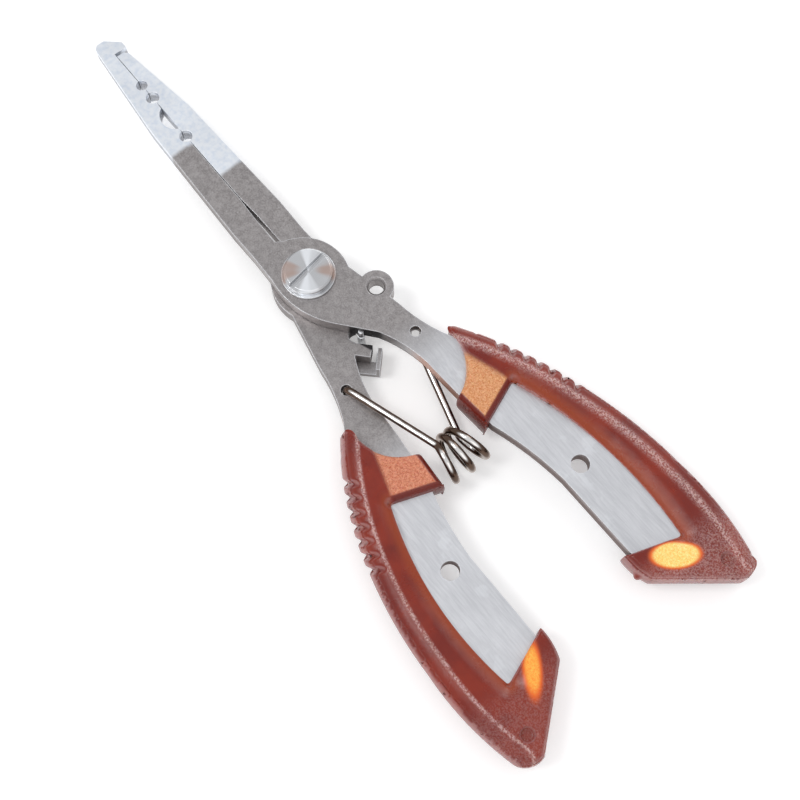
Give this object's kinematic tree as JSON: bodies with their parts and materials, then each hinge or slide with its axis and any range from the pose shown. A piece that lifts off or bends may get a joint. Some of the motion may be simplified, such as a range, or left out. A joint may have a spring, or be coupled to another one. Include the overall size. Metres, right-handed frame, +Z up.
{
  "type": "fishing pliers",
  "caption": "Flat steel fishing pliers with slim crossed jaws, a slotted pivot screw, a wire return spring, a lock lever and moulded grips with open side windows.",
  "frame": {"origin": "on the pivot axis, at the flat underside of the pivot screw, in the plane the pliers lie on", "axes": "+X towards the jaw tips along the closed jaws, +Z up out of the flat tool, +Y towards the handle of the lower half"},
  "size_m": [0.165, 0.0604, 0.0103],
  "materials": {
    "steel": "brushed",
    "turned_steel": "turned",
    "spring_wire": "bright drawn wire",
    "grip": "translucent glossy"
  },
  "bodies": {
    "lower": {"lower_half": "steel", "left_grip": "grip", "pivot_screw": "turned_steel", "pivot_washer": "turned_steel", "pivot_nut": "turned_steel", "lock_rivet": "turned_steel"},
    "upper": {"upper_half": "steel", "right_grip": "grip", "lock_catch": "turned_steel"},
    "lever": {"lock_lever": "steel"},
    "spring_a": {"spring_left": "spring_wire"},
    "spring_b": {"spring_right": "spring_wire"}
  },
  "joints": [
    {"name": "jaw_pivot", "type": "hinge", "parent": "lower", "child": "upper", "pos_m": [0, 0, 0.005], "axis": [0, 0, 1], "range_deg": [0, 25]},
    {"name": "lock_swing", "type": "hinge", "parent": "lower", "child": "lever", "pos_m": [-0.0162, 0.0056, 0.001], "axis": [0, 0, 1], "range_deg": [0, 35]},
    {"name": "spring_swing", "type": "hinge", "parent": "lower", "child": "spring_a", "pos_m": [-0.022, 0.0084, 0.005], "axis": [0, 0, 1], "range_deg": [-1, 29]},
    {"name": "spring_flex", "type": "hinge", "parent": "spring_a", "child": "spring_b", "pos_m": [-0.0403, 0, 0.005], "axis": [0, 0, 1], "range_deg": [-32, 1]}
  ],
  "couplings": [
    {"joint": "spring_swing", "follows": "jaw_pivot", "ratio": 1.1154},
    {"joint": "spring_flex", "follows": "jaw_pivot", "ratio": -1.2308}
  ]
}
